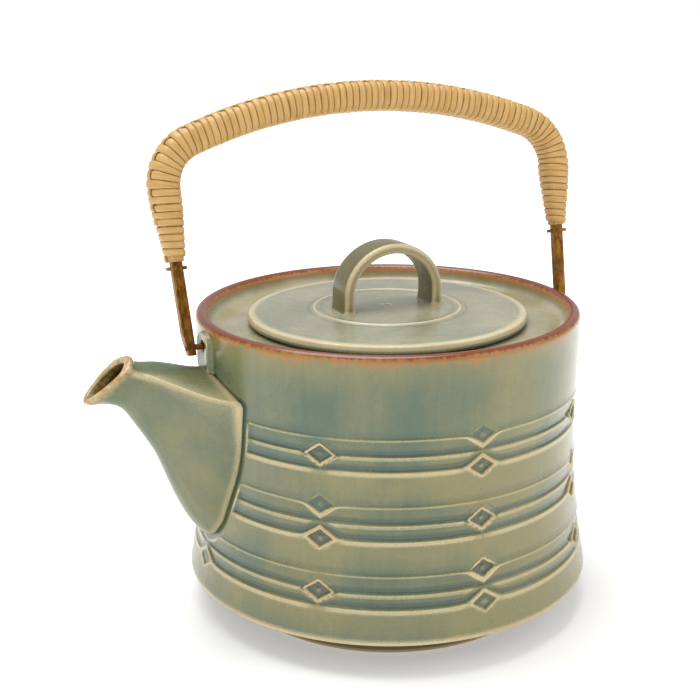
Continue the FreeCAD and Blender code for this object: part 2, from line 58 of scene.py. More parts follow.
LID, LID_UNDER, LID_TOP, LID_CROWN = 55.1, 113.0, 116.8, 118.8
SKIRT, SKIRT_WALL, SKIRT_DEEP = 47.6, 3.6, 9.0
BEAD, BEAD_WIDE, BEAD_HIGH = 28.8, 1.6, 0.6
VENT = 1.25
STRAP_SPAN, STRAP_UP, STRAP_WIDE, STRAP_THICK = 19.0, 23.0, 14.0, 4.0

PIN_UP = 111.2              # height of the hinge
HOLE, HOLE_DEEP = 2.2, 4.6  # radius of the hinge hole, and its depth from the ear's face
EAR_FACE, EAR_HALF, EAR_TOP, EAR_BOTTOM = 77.2, 6.0, 2.6, 17.5

LEAN = 13.0
BAIL_SPAN, BAIL_UP, BAIL_FLARE, BAIL_CORNER, BAIL_RISE = 82.0, 89.0, 2.6, 18.0, 17.1
CANE_START, CANE_FULL, RUNNER_START = 32.0, 55.0, 46.0
GRIP_THICK, GRIP_WIDE, GRIP_END_THICK, GRIP_END_WIDE = 11.4, 12.0, 7.6, 7.4
RUNNER_WIDE, RUNNER_THICK = 3.0, 0.7
STRIP_PITCH, STRIP_WIDE = 2.7, 2.5
TURN_LONG = 36.0            # length of the strip in one turn, for its map
OVER, UNDER = 0.62, -0.35   # how far a turn rises over the runner, or sinks under it
SQUARE = 2.9                # power of the grip's section: 2 is an ellipse, more is squarer

# the spout's stations: reach, drop, tilt, half, roof, depth, keel
SPOUT = np.array([
    (60.0, 16.6, 0.0, 30.5, 8.6, 66.4, 13.0),
    (78.0, 15.2, 1.5, 22.4, 7.4, 67.6, 8.6),
    (90.5, 11.9, 12.0, 14.0, 6.0, 37.0, 6.4),
    (98.5, 9.7, 27.0, 9.4, 4.6, 22.4, 5.2),
    (105.1, 8.0, 51.8, 7.5, 4.6, 23.2, 4.4),
])
KEEL_RISE, SIDE_BOW, SPOUT_WALL = 0.16, 0.05, 2.2
SPOUT_TIP = 123.3           # how far the lip reaches from the pot's middle

# the spout's shape is eased from its stations: a slimmer neck, a broader root, a hollow keel
NECK_AT, NECK_LONG, NECK_DROP, NECK_SLIM = 3.3, 0.6, 0.8, 2.2
ROOT_AT, ROOT_LONG, ROOT_BROAD = 0.9, 0.5, 0.42
KEEL_AT, KEEL_LONG, KEEL_HOLLOW = 1.9, 0.6, 2.6
ROOT_ROUND, ROOT_INSET = 2.6, 0.6       # its edge is rounded over by the wall, this long and this deep
SHOULDERS = (8, 57)         # the points of its outline on the two upper ridges
LIP_FLARE = 1.3             # how far its lip opens out
ROOT_INSIDE = 0.968         # it begins inside the wall, at this share of its root's distance from the middle

# the three carved bands: each is three lines, given below the crest
BANDS = ((30.1, 36.5, 42.2), (55.1, 61.9, 67.9), (80.6, 87.4, 92.9))
# the glaze is warmer and thinner below these, the rim and the lowest line of each band
EDGES = [0.0] + [lines[2] for lines in BANDS]
CARVED = 1.0                # depth of the carving
LOZENGE_COLUMNS = 8
SECOND_START = 0.12         # depth that the slope below the middle line starts from
LOZENGE = (6.1, 4.6)        # half sizes of a lozenge's raised border
DETOUR = 4.9                # how far a line turns aside at the middle of a lozenge
HOLLOW = (4.7, 3.2)         # half sizes of the hollow inside it
FAINT = {(0, 0): 0.4, (1, 0): 0.45, (2, 2): 0.55}     # lightly pressed ones, by band and line
CUT_BACK = 0.75             # how far a cut takes to come back up to the wall
CREASE_WIDE, CREASE_HIGH = 0.6, 0.36    # the fine raised line on top of each band
ROOT_BORDER, ROOT_GROOVE = 2.2, 0.34    # plain border round the spout, and the groove in it

COLUMNS = 240               # faces round the pot
LID_COLUMNS = 160           # faces round the lid
CARVED_ROW, PLAIN_ROW = 0.5, 1.3        # height of a row of faces in the carved bands and elsewhere


# -------------------- making meshes

def arc(centre, radius, start, stop, steps):
    """Points (x, y) on an arc, from one angle in degrees to another."""
    turn = [radians(start + (stop - start) * i / steps) for i in range(steps + 1)]
    return [(centre[0] + radius * cos(a), centre[1] + radius * sin(a)) for a in turn]


def rounded(corners, steps=4):
    """A closed outline through corners (x, y, radius), each corner rounded by an arc."""
    points = []
    count = len(corners)
    for i, (x, y, radius) in enumerate(corners):
        here = Vector((x, y))
        before = Vector(corners[i - 1][:2]) - here
        after = Vector(corners[(i + 1) % count][:2]) - here
        angle = before.angle(after) / 2
        cut = min(radius / tan(angle), before.length * 0.48, after.length * 0.48)
        size = cut * tan(angle)
        middle = here + (before.normalized() + after.normalized()).normalized() * (size / sin(angle))
        start = here + before.normalized() * cut - middle
        sweep = start.angle_signed(here + after.normalized() * cut - middle)
        for j in range(steps + 1):
            turned = start.copy()
            turned.rotate(Matrix.Rotation(-sweep * j / steps, 2))
            points.append(tuple(middle + turned))
    return points


def tube(rings, ring_closed=False):
    """A tube through rings of points: the first is drawn, and each next one is extruded from it.

    Its two ends are capped, or, where the rings come back to the first, joined to each other.
    """
    bm = bmesh.new()
    place = bm.verts.layers.int.new("ring_place")
    row = bm.verts.layers.int.new("ring_row")
    verts = [bm.verts.new(p) for p in rings[0]]
    for i, v in enumerate(verts):
        v[place] = i
    first = edges = [bm.edges.new((verts[i - 1], v)) for i, v in enumerate(verts)]
    for number, ring in enumerate(rings[1:], start=1):
        made = bmesh.ops.extrude_edge_only(bm, edges=edges)["geom"]
        new = {v for v in made if isinstance(v, bmesh.types.BMVert)}
        for v in new:
            v.co = ring[v[place]]
            v[row] = number
        edges = [e for e in made if isinstance(e, bmesh.types.BMEdge) and set(e.verts) <= new]
    if ring_closed:
        bmesh.ops.bridge_loops(bm, edges=first + edges)
    else:
        for end in (first, edges):
            bmesh.ops.contextual_create(bm, geom=end)
    return bm


def revolved(points, columns, closed):
    """A round body from its half section, given as (radius, height)."""
    bm = bmesh.new()
    section = [bm.verts.new((r, 0.0, z)) for r, z in points]
    edges = [bm.edges.new(pair) for pair in zip(section, section[1:] + section[:closed])]
    bmesh.ops.spin(bm, geom=section + edges, cent=(0, 0, 0), axis=(0, 0, 1), dvec=(0, 0, 0),
                   angle=2 * pi, steps=columns, use_merge=True, use_duplicate=False)
    return bm


def placed(name, data):
    """A new object for a mesh, light or camera, put in the scene."""
    made = bpy.data.objects.new(name, data)
    bpy.context.scene.collection.objects.link(made)
    return made


def finished(bm, name, body, material, nodes, crease):
    """The bmesh as a piece: outward faces, sharp edges marked, metres, riding on its body."""
    bmesh.ops.remove_doubles(bm, verts=bm.verts, dist=1e-4)
    bmesh.ops.recalc_face_normals(bm, faces=bm.faces)
    for edge in bm.edges:
        if len(edge.link_faces) == 2 and edge.calc_face_angle() > radians(crease):
            edge.smooth = False
    for face in bm.faces:
        face.smooth = True
    bmesh.ops.scale(bm, vec=(MM, MM, MM), verts=bm.verts)
    mesh = bpy.data.meshes.new(name)
    bm.to_mesh(mesh)
    bm.free()
    piece = placed(name, mesh)
    mesh.materials.append(material)
    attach(piece, body)
    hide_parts(*nodes)
    return piece


def smoothstep(x):
    """x eased from 0 to 1, and held there on both sides."""
    x = np.clip(x, 0.0, 1.0)
    return x * x * (3 - 2 * x)


def near(x, middle, reach):
    """1 at the middle, falling away smoothly to about a third at the reach and little at twice that."""
    return np.exp(-((x - middle) / reach) ** 2)


def fading(distance, length):
    """1 at no distance, falling away with it over about a length; nothing on the other side."""
    return np.where(distance > 0, np.exp(-np.abs(distance) / length), 0.0)


def add_values(mesh, name, values):
    """Store a value from 0 to 1 at each vertex. For "glaze", 0 is pooled, 0.5 even and 1 run thin."""
    made = mesh.attributes.new(name, "FLOAT", "POINT")
    made.data.foreach_set("value", np.clip(values, 0.0, 1.0).astype(np.float32))


def coordinates(mesh):
    """The places of a mesh's vertices, in millimetres."""
    co = np.empty(len(mesh.vertices) * 3)
    mesh.vertices.foreach_get("co", co)
    return co.reshape(-1, 3) / MM


def lie_by_shape(mesh, gain, rounds):
    """Glaze thins on convex edges and pools in hollows, so it follows the mesh's curvature."""
    count = len(mesh.vertices)
    co = coordinates(mesh)
    normal = np.array([v.normal[:] for v in mesh.vertices])
    ends = np.empty(len(mesh.edges) * 2, dtype=np.int64)
    mesh.edges.foreach_get("vertices", ends)
    a, b = ends.reshape(-1, 2).T
    step = co[b] - co[a]
    length = np.maximum(np.linalg.norm(step, axis=1), 0.05)

    def gathered(at_a, at_b):
        """For each vertex, the sum of what the edges bring to it."""
        return np.bincount(a, at_a, count) + np.bincount(b, at_b, count)

    bend = gathered(-(step * normal[a]).sum(1) * 2 / length, (step * normal[b]).sum(1) * 2 / length)
    bend = np.clip(bend / np.maximum(gathered(length, length), 1e-6), -1.2, 1.2)
    neighbours = gathered(np.ones(len(a)), np.ones(len(a)))
    for _ in range(rounds):
        bend = (bend + gathered(bend[b], bend[a])) / (1 + neighbours)
    return np.clip(0.5 + gain * bend, 0.0, 1.0)


# -------------------- shader nodes

class Tree:
    """A node tree, with a few short words for building it."""

    def __init__(self, blender_tree):
        self.blender_tree = blender_tree

    def node(self, kind, **settings):
        made = self.blender_tree.nodes.new(kind)
        for name, value in settings.items():
            setattr(made, name, value)
        return made

    def feed(self, socket, value):
        if hasattr(value, "default_value") or hasattr(value, "links"):
            self.blender_tree.links.new(value, socket)
        else:
            socket.default_value = value

    def math(self, operation, *values, clamp=False):
        made = self.node("ShaderNodeMath", operation=operation, use_clamp=clamp)
        for i, value in enumerate(values):
            self.feed(made.inputs[i], value)
        return made.outputs[0]

    def times(self, first, second):
        return self.math("MULTIPLY", first, second)

    def plus(self, first, second, clamp=False):
        return self.math("ADD", first, second, clamp=clamp)

    def minus(self, first, second):
        return self.math("SUBTRACT", first, second)

    def band(self, value, low, high, to_low=0.0, to_high=1.0):
        """The value's place between low and high, eased and clamped."""
        made = self.node("ShaderNodeMapRange", interpolation_type="SMOOTHSTEP")
        for i, item in enumerate((value, low, high, to_low, to_high)):
            self.feed(made.inputs[i], item)
        return made.outputs[0]

    def mix(self, factor, first, second, blend="MIX"):
        made = self.node("ShaderNodeMix", data_type="RGBA", blend_type=blend)
        self.feed(made.inputs[0], factor)
        self.feed(made.inputs[6], first)
        self.feed(made.inputs[7], second)
        return made.outputs[2]

    def noise(self, place, scale, detail=3.0, roughness=0.55, distortion=0.0):
        made = self.node("ShaderNodeTexNoise")
        self.feed(made.inputs["Vector"], place)
        for name, value in (("Scale", scale), ("Detail", detail), ("Roughness", roughness),
                            ("Distortion", distortion)):
            made.inputs[name].default_value = value
        return made.outputs["Fac"]

    def stretched(self, place, scale):
        made = self.node("ShaderNodeMapping")
        self.feed(made.inputs["Vector"], place)
        made.inputs["Scale"].default_value = scale
        return made.outputs[0]

    def parts(self, vector):
        made = self.node("ShaderNodeSeparateXYZ")
        self.feed(made.inputs[0], vector)
        return made.outputs

    def joined(self, x, y=0.0):
        made = self.node("ShaderNodeCombineXYZ")
        self.feed(made.inputs[0], x)
        self.feed(made.inputs[1], y)
        return made.outputs[0]


def srgb(red, green, blue):
    """A colour given in 0 to 255 display values, as scene-linear RGBA."""
    def linear(value):
        value /= 255
        return value / 12.92 if value <= 0.04045 else ((value + 0.055) / 1.055) ** 2.4
    return (linear(red), linear(green), linear(blue), 1.0)


def new_group(name, inputs, outputs):
    """A shader node group with named sockets; inputs are (name, type, value)."""
    group = bpy.data.node_groups.new(name, "ShaderNodeTree")
    for label, kind, value in inputs:
        made = group.interface.new_socket(name=label, in_out="INPUT", socket_type="NodeSocket" + kind)
        if value is not None:
            made.default_value = value
    for label, kind in outputs:
        group.interface.new_socket(name=label, in_out="OUTPUT", socket_type="NodeSocket" + kind)
    tree = Tree(group)
    return tree, tree.node("NodeGroupInput").outputs, tree.node("NodeGroupOutput").inputs


def new_material(name):
    """A material with its tree, its Principled BSDF's inputs and its object coordinates in millimetres."""
    material = bpy.data.materials.new(name)
    material.use_nodes = True
    material.node_tree.nodes.clear()
    tree = Tree(material.node_tree)
    shader = tree.node("ShaderNodeBsdfPrincipled")
    output = tree.node("ShaderNodeOutputMaterial")
    tree.feed(output.inputs["Surface"], shader.outputs[0])
    place = tree.stretched(tree.node("ShaderNodeTexCoord").outputs["Object"], (1000, 1000, 1000))
    return material, tree, shader.inputs, place


def use_group(tree, group, **values):
    """Place a group in a material with its own values."""
    made = tree.node("ShaderNodeGroup", node_tree=group.blender_tree)
    for name, value in values.items():
        tree.feed(made.inputs[name], value)
    return made.outputs


def bump(tree, shader, height, strength, distance):
    made = tree.node("ShaderNodeBump")
    made.inputs["Strength"].default_value = strength
    made.inputs["Distance"].default_value = distance
    tree.feed(made.inputs["Height"], height)
    tree.feed(shader["Normal"], made.outputs[0])


def make_glaze_group():
    """Stoneware glaze: cloudy colour, fine vertical runs, pools and thin edges, small specks."""
    tree, given, out = new_group("stoneware_glaze", [
        ("Place", "Vector", None), ("Lie", "Float", 0.5),
        ("Field", "Color", srgb(78, 100, 80)), ("Warm", "Color", srgb(134, 128, 82)),
        ("Pool", "Color", srgb(56, 78, 70)), ("Thin", "Color", srgb(212, 196, 152)),
        ("Clay", "Color", srgb(176, 116, 62)), ("Warmth", "Float", 0.0),
    ], [("Color", "Color"), ("Roughness", "Float"), ("Height", "Float")])
    place, lie = given["Place"], given["Lie"]
    clouds = tree.noise(tree.stretched(place, (1, 1, 0.8)), 0.026, 5.0, 0.6, 0.4)
    runs = tree.noise(tree.stretched(place, (1, 1, 0.06)), 0.32, 4.0, 0.65)
    grains = tree.noise(place, 1.6, 4.0, 0.7)
    warm = tree.plus(tree.band(clouds, 0.32, 0.72, 0.0, 0.7), given["Warmth"])
    warm = tree.plus(warm, tree.band(runs, 0.2, 0.8, -0.1, 0.1), clamp=True)
    colour = tree.mix(warm, given["Field"], given["Warm"])
    uneven = tree.plus(lie, tree.band(grains, 0.3, 0.7, -0.02, 0.02))
    colour = tree.mix(tree.band(uneven, 0.46, 0.12), colour, given["Pool"])
    colour = tree.mix(tree.band(uneven, 0.56, 0.92), colour, given["Thin"])
    clay = tree.times(tree.band(uneven, 0.72, 1.0), tree.band(clouds, 0.4, 0.62, 0.1, 0.45))
    colour = tree.mix(clay, colour, given["Clay"])
    soft = tree.mix(tree.band(grains, 0.25, 0.75), (0.88, 0.90, 0.92, 1), (1.10, 1.08, 1.02, 1))
    colour = tree.mix(1.0, colour, soft, "MULTIPLY")
    specks = tree.node("ShaderNodeTexVoronoi", feature="F1")
    tree.feed(specks.inputs["Vector"], place)
    specks.inputs["Scale"].default_value = 0.16
    dot = tree.band(specks.outputs["Distance"], 0.085, 0.03)
    some = tree.band(tree.parts(specks.outputs["Color"])[0], 0.80, 0.86)
    dark = tree.times(tree.times(dot, some), 0.5)
    colour = tree.mix(dark, colour, srgb(78, 80, 62))
    tree.feed(out["Color"], colour)
    rough = tree.plus(tree.band(clouds, 0.3, 0.7, 0.2, 0.3), tree.band(uneven, 0.5, 1.0, 0.0, 0.12))
    tree.feed(out["Roughness"], rough)
    tree.feed(out["Height"], tree.plus(tree.times(grains, 0.25),
                                         tree.times(tree.noise(place, 0.28, 2.0), 1.2)))
    return tree


GLAZE = make_glaze_group()


def glaze_on(tree, shader, place, **values):
    """The glaze group in a material, with its lie read from the mesh."""
    lie = tree.node("ShaderNodeAttribute", attribute_name="glaze").outputs["Fac"]
    glaze = use_group(tree, GLAZE, Place=place, Lie=lie, **values)
    tree.feed(shader["Roughness"], glaze["Roughness"])
    shader["Coat Weight"].default_value = 0.28
    shader["Coat Roughness"].default_value = 0.14
    shader["IOR"].default_value = 1.5
    bump(tree, shader, glaze["Height"], 0.25, 0.0004)
    return glaze["Color"]


def make_pot_glaze():
    """The glaze on the pot, with its lip, its gallery painted lighter as a painted reflection, painted shade
    under the base edge, and the unglazed foot.
    """
    material, tree, shader, place = new_material("pot_glaze")
    x, y, z = tree.parts(place)
    below = tree.minus(CREST, z)
    radius = tree.math("SQRT", tree.plus(tree.times(x, x), tree.times(y, y)))
    # one side of the pot is lighter and warmer, partly the glaze's own colour and partly painted light where
    # the light falls stronger from the right; its lower part is warmer in colour too
    side = tree.minus(tree.times(x, 0.8), tree.times(y, 0.6))
    warmth = tree.plus(tree.band(side, -10.0, 75.0, -0.12, 0.5),
                        tree.band(below, 30.0, 105.0, 0.0, 0.2))
    for line in EDGES:
        under = tree.times(tree.band(below, line - 0.5, line + 0.5),
                            tree.band(below, line + 15.0, line + 2.0))
        warmth = tree.plus(warmth, tree.times(under, 0.4))
    warmth = tree.plus(warmth, tree.band(radius, RIM - 3.5, RIM - 5.0, 0.0, 1.0))
    colour = glaze_on(tree, shader, place, Warmth=warmth)
    # painted reflection: the gallery's level shelf is painted lighter in patches, standing for the bright
    # room mirrored on it
    gallery = tree.times(tree.band(radius, RIM - 4.0, RIM - 5.5), tree.band(z, SEAT - 2.0, SEAT - 1.0))
    patchy = tree.band(tree.noise(place, 0.05, 3.0, 0.6), 0.32, 0.68, 0.3, 0.75)
    colour = tree.mix(tree.times(gallery, patchy), colour, srgb(190, 182, 158))
    # the lip: iron brown where the glaze has run thin, with fine orange streaks running down from it
    angle = tree.times(tree.math("ARCTAN2", y, x), RIM)
    streak = tree.noise(tree.joined(angle, tree.times(z, 0.10)), 0.62, 3.0, 0.6)
    drift = tree.noise(tree.joined(tree.times(angle, 0.06)), 1.0, 2.0, 0.5)
    outside = tree.band(radius, RIM - 1.6, RIM - 0.8)
    inside = tree.band(radius, RIM - LIP + 1.0, RIM - LIP + 0.2)
    reach = tree.plus(tree.band(streak, 0.3, 0.7, 0.8, 3.2), tree.band(drift, 0.3, 0.7, -0.4, 1.6))
    orange = tree.times(tree.band(tree.minus(reach, below), -2.2, 1.4), outside)
    inner_run = tree.times(inside, tree.band(below, 4.2, 1.2))
    colour = tree.mix(tree.times(orange, 0.8), colour, srgb(170, 112, 44))
    colour = tree.mix(tree.times(inner_run, 0.85), colour, srgb(178, 112, 44))
    brown = tree.band(tree.plus(below, tree.band(streak, 0.3, 0.7, -0.4, 0.4)), 1.5, 0.4)
    colour = tree.mix(brown, colour, srgb(126, 58, 22))
    # under the base edge, unglazed clay painted dark with painted shade over the underside and the foot's
    # outer wall; light unglazed clay on the foot's bottom
    underside_shade = tree.times(tree.band(below, CREST - BASE_UP + 0.6, CREST - BASE_UP + 2.2),
                      tree.band(radius, 55.0, 56.0))
    colour = tree.mix(underside_shade, colour, srgb(92, 84, 54))
    foot = tree.band(below, CREST - 2.2, CREST - 1.0)
    colour = tree.mix(foot, colour, srgb(172, 150, 108))
    tree.feed(shader["Base Color"], colour)
    return material


def make_plain_glaze(name, **colours):
    """The glaze in other colours, with nothing done to it at an edge or a lip."""
    material, tree, shader, place = new_material(name)
    tree.feed(shader["Base Color"], glaze_on(tree, shader, place, **colours))
    return material


def make_spout_glaze():
    """The same glaze, run thin to a light orange at the lip and amber inside it, with painted shade
    darkening to black deeper in the channel.
    """
    material, tree, shader, place = new_material("spout_glaze")
    colour = glaze_on(tree, shader, place, Warmth=0.12)
    lip = tree.node("ShaderNodeAttribute", attribute_name="lip").outputs["Fac"]
    inside = tree.node("ShaderNodeAttribute", attribute_name="inside").outputs["Fac"]
    mottle = tree.noise(place, 0.5, 3.0, 0.6)
    colour = tree.mix(tree.times(lip, 0.9), colour,
                       tree.mix(tree.band(mottle, 0.35, 0.65), srgb(212, 190, 148), srgb(192, 146, 88)))
    amber = tree.mix(tree.band(mottle, 0.35, 0.65), srgb(168, 142, 84), srgb(126, 94, 44))
    colour = tree.mix(tree.band(inside, 0.0, 0.35), colour, amber)
    # painted shade: further into the channel the colour goes nearly black
    colour = tree.mix(tree.band(inside, 0.4, 1.0, 0.0, 0.8), colour, srgb(36, 28, 16))
    tree.feed(shader["Base Color"], colour)
    return material


def make_brass():
    """Old brass: brushed along the bar, with brown patina in patches."""
    material, tree, shader, place = new_material("brass")
    grain = tree.noise(tree.stretched(place, (1, 1, 0.2)), 0.9, 4.0, 0.6)
    patina = tree.noise(place, 0.22, 3.0, 0.6)
    colour = tree.mix(tree.band(grain, 0.35, 0.7), srgb(112, 74, 28), srgb(160, 116, 54))
    colour = tree.mix(tree.band(patina, 0.45, 0.62, 0.0, 0.55), colour, srgb(70, 44, 18))
    tree.feed(shader["Base Color"], colour)
    shader["Metallic"].default_value = 1.0
    tree.feed(shader["Roughness"], tree.band(grain, 0.3, 0.7, 0.28, 0.5))
    bump(tree, shader, grain, 0.3, 0.0003)
    return material


def make_cane():
    """Split cane: fibres along the strip, read from the piece's own map (along, across)."""
    material, tree, shader, _ = new_material("cane")
    along, across, _ = tree.parts(tree.node("ShaderNodeUVMap", uv_map="strip").outputs[0])
    fibre_place = tree.joined(tree.times(along, 0.05), tree.times(across, 3.0))
    fibre = tree.noise(fibre_place, 2.4, 3.0, 0.6)
    tone = tree.noise(tree.joined(tree.times(along, 0.03)), 1.0, 2.0, 0.5)
    colour = tree.mix(tree.band(fibre, 0.3, 0.7), srgb(180, 138, 72), srgb(206, 164, 96))
    colour = tree.mix(tree.band(tone, 0.35, 0.65, 0.0, 0.35), colour, srgb(218, 182, 122))
    tree.feed(shader["Base Color"], colour)
    tree.feed(shader["Roughness"], tree.band(fibre, 0.3, 0.7, 0.42, 0.56))
    shader["Coat Weight"].default_value = 0.1
    bump(tree, shader, fibre, 0.35, 0.00025)
    return material


def make_core_cane():
    """Plain round cane, only a little of it showing at the ends of the grip."""
    material, tree, shader, place = new_material("core_cane")
    fibre = tree.noise(tree.stretched(place, (1, 1, 0.1)), 1.4, 3.0, 0.6)
    colour = tree.mix(tree.band(fibre, 0.3, 0.7), srgb(168, 128, 72), srgb(196, 158, 98))
    tree.feed(shader["Base Color"], colour)
    shader["Roughness"].default_value = 0.55
    bump(tree, shader, fibre, 0.3, 0.00025)
    return material


POT_GLAZE = make_pot_glaze()
# the lid's glaze is lighter than the pot's: partly its own colour, partly painted light standing for the
# bright room reflected on its top
LID_GLAZE = make_plain_glaze("lid_glaze", Field=srgb(138, 141, 120), Warm=srgb(184, 177, 150),
                             Pool=srgb(78, 82, 62), Thin=srgb(216, 206, 172))
SPOUT_GLAZE = make_spout_glaze()
STRAP_GLAZE = make_plain_glaze("strap_glaze", Field=srgb(84, 80, 44), Warm=srgb(118, 108, 60),
                               Pool=srgb(58, 62, 48), Thin=srgb(214, 200, 160))
BRASS = make_brass()
CANE = make_cane()
CORE_CANE = make_core_cane()


# -------------------- the spout's shape

def spout_station(place):
    """The seven values at a place from 0 (root) to 4 (spill), smoothly between the stations."""
    last = len(SPOUT) - 1
    i = int(min(max(floor(place), 0), last - 1))
    t = place - i
    before = SPOUT[i - 1] if i > 0 else 2 * SPOUT[0] - SPOUT[1]
    after = SPOUT[i + 2] if i + 2 <= last else 2 * SPOUT[last] - SPOUT[last - 1]
    start, stop = SPOUT[i], SPOUT[i + 1]
    leave, arrive = (stop - before) / 2, (after - start) / 2
    return ((2 * t**3 - 3 * t**2 + 1) * start + (t**3 - 2 * t**2 + t) * leave
            + (3 * t**2 - 2 * t**3) * stop + (t**3 - t**2) * arrive)


def spout_ring(place, inset=0.0):
    """The spout's outline at a place, in the pot's frame; inset leaves that much wall."""
    reach, drop, tilt, half, roof, depth, keel = spout_station(place)
    half, depth, keel = half - inset, depth - 1.7 * inset, keel - 0.6 * inset
    neck = near(place, NECK_AT, NECK_LONG)
    keel *= 1 + ROOT_BROAD * near(place, ROOT_AT, ROOT_LONG)
    drop += NECK_DROP * neck
    depth -= NECK_SLIM * neck + KEEL_HOLLOW * near(place, KEEL_AT, KEEL_LONG)
    lean = radians(tilt)
    reach, drop = reach + inset * sin(lean), drop + inset * cos(lean)
    low = depth * (1 - KEEL_RISE)
    soft = float(smoothstep((place - 2.0) / 2.0))
    shoulder = max(0.6, 2.0 + 2.6 * soft - 0.4 * inset)
    bow = SIDE_BOW * depth
    right = [(half, roof, shoulder), ((half + keel) / 2 + bow, (roof + low) / 2, depth * 0.9),
             (keel, low, keel * (1.2 + 0.6 * soft)), (keel * 0.55, depth * (1 - KEEL_RISE * 0.26), keel)]
    left = [(-x, y, r) for x, y, r in reversed(right)]
    flat = rounded([(0.0, 0.0, half * (0.5 + 0.5 * soft))] + right + [(0.0, depth, keel)] + left, 5)
    return [Vector((-reach - v * sin(lean), u, CREST - drop - v * cos(lean))) for u, v in flat]


def wall_radius(z):
    """Outside radius of the pot's wall at a height."""
    z = np.asarray(z, dtype=float)
    flare = (BASE - WAIST) ** 2 + (WAIST_UP - BASE_UP) ** 2
    bend = flare / (2 * (BASE - WAIST))
    lower = WAIST + bend - np.sqrt(np.maximum(bend**2 - (WAIST_UP - z) ** 2, 0.0))
    upper = WAIST + (RIM - WAIST) * (z - WAIST_UP) / (CREST - WAIST_UP)
    return np.where(z >= WAIST_UP, upper, lower)


def spout_meets_wall():
    """For each point of the outline, the place where the spout comes out of the wall."""
    places = np.linspace(0.3, 1.6, 66)
    rings = np.array([[tuple(p) for p in spout_ring(s)] for s in places])
    out = np.hypot(rings[..., 0], rings[..., 1]) - wall_radius(rings[..., 2])
    meets = []
    for i in range(rings.shape[1]):
        first = int(np.argmax(out[:, i] > 0))
        low, high = out[first - 1, i], out[first, i]
        meets.append(places[first - 1] + (places[first] - places[first - 1]) * -low / (high - low))
    return meets


MEETS = spout_meets_wall()


ROOT = [spout_ring(place)[i] for i, place in enumerate(MEETS)]


def nearest_column(angle):
    """The nearest column of lozenges, and the distance along the wall from it."""
    sector = 2 * pi / LOZENGE_COLUMNS
    column = np.round((angle - pi) / sector)
    return column, (angle - pi - column * sector) * WAIST


def away_from_root(angle, z):
    """Distances along the wall from the spout's root, and which of the places are outside it."""
    line = np.array([(WAIST * atan2(p.y, -p.x), p.z) for p in ROOT])
    ends = np.roll(line, -1, axis=0)
    points = np.stack([WAIST * np.arctan2(np.sin(angle), -np.cos(angle)), z], axis=1)
    best = np.full(len(points), 1e9)
    winding = np.zeros(len(points), dtype=bool)
    for a, b in zip(line, ends):
        span = b - a
        size = max(float(span @ span), 1e-9)
        t = np.clip(((points - a) @ span) / size, 0, 1)
        best = np.minimum(best, np.linalg.norm(points - a - t[:, None] * span, axis=1))
        if abs(b[1] - a[1]) > 1e-9:
            between = (a[1] > points[:, 1]) != (b[1] > points[:, 1])
            cross = a[0] + (points[:, 1] - a[1]) * (b[0] - a[0]) / (b[1] - a[1])
            winding ^= between & (points[:, 0] < cross)
    return best, ~winding


# -------------------- the carved bands

def detour(arc_along):
    """How far a line goes out of its way round a lozenge."""
    slope = LOZENGE[1] / LOZENGE[0]
    reach = DETOUR - slope * np.abs(arc_along)
    return np.maximum(0.5 * (reach + np.sqrt(reach**2 + 1.6)) - 0.05, 0.0)


def carving(below, along, kind):
    """Depth of the carving at points below the crest and along the wall from a lozenge column."""
    depth = np.zeros_like(below)
    for group, lines in enumerate(BANDS):
        round_it = detour(along)
        with_lozenge = [(group + line + kind) % 2 == 0 for line in range(3)]
        at = [lines[line] + np.where(with_lozenge[line], round_it, 0.0) * (1 if line < 2 else -1)
              for line in range(3)]
        for top, bottom, start in ((at[0], at[1], 0.0), (at[1], at[2], SECOND_START)):
            t = np.clip((below - top) / (bottom - top), 0.0, 1.0)
            slope = start + (CARVED - start) * t**1.25
            back = 1 - smoothstep((below - bottom + CUT_BACK) / CUT_BACK)
            inside = (below > top) & (below < bottom)
            depth = np.where(inside, slope * back, depth)
        depth = depth - CREASE_HIGH * near(below, at[0], CREASE_WIDE)
        for line in range(3):
            up = below - lines[line]
            border = np.abs(along) / LOZENGE[0] + np.abs(up) / LOZENGE[1]
            hollow = np.abs(along) / HOLLOW[0] + np.abs(up) / HOLLOW[1]
            bead = 0.4 * smoothstep((1.6 - np.hypot(along, up)) / 1.4)
            inner = -0.22 + (CARVED + 0.1) * smoothstep((1.12 - hollow) / 0.24) - bead
            share = smoothstep((1.06 - border) / 0.12)
            share = np.where(with_lozenge[line], share, 0.0) * FAINT.get((group, line), 1.0)
            depth = depth * (1 - share) + inner * share
    return depth


def relief(angle, z):
    """Depth below the plain wall, from the angle round the pot and the height."""
    below = CREST - z
    column, along = nearest_column(angle)
    depth = carving(below, along, np.mod(column.astype(int), 2))
    beside, outside = away_from_root(angle, z)
    clear = np.where(outside, smoothstep(beside - ROOT_BORDER), 0.0)
    groove = ROOT_GROOVE * np.where(outside, 1 - smoothstep((beside - 0.2) / 1.8), 1.0)
    across = np.arcsin(np.sin(angle)) * RIM
    from_pin = np.hypot(np.where(np.abs(across) < 9, across, 99.0), z - PIN_UP)
    pin_hole = HOLE_DEEP - (EAR_FACE - RIM)
    return depth * clear + groove + pin_hole * (1 - smoothstep((from_pin - HOLE - 0.1) / 0.5))


# -------------------- the pot

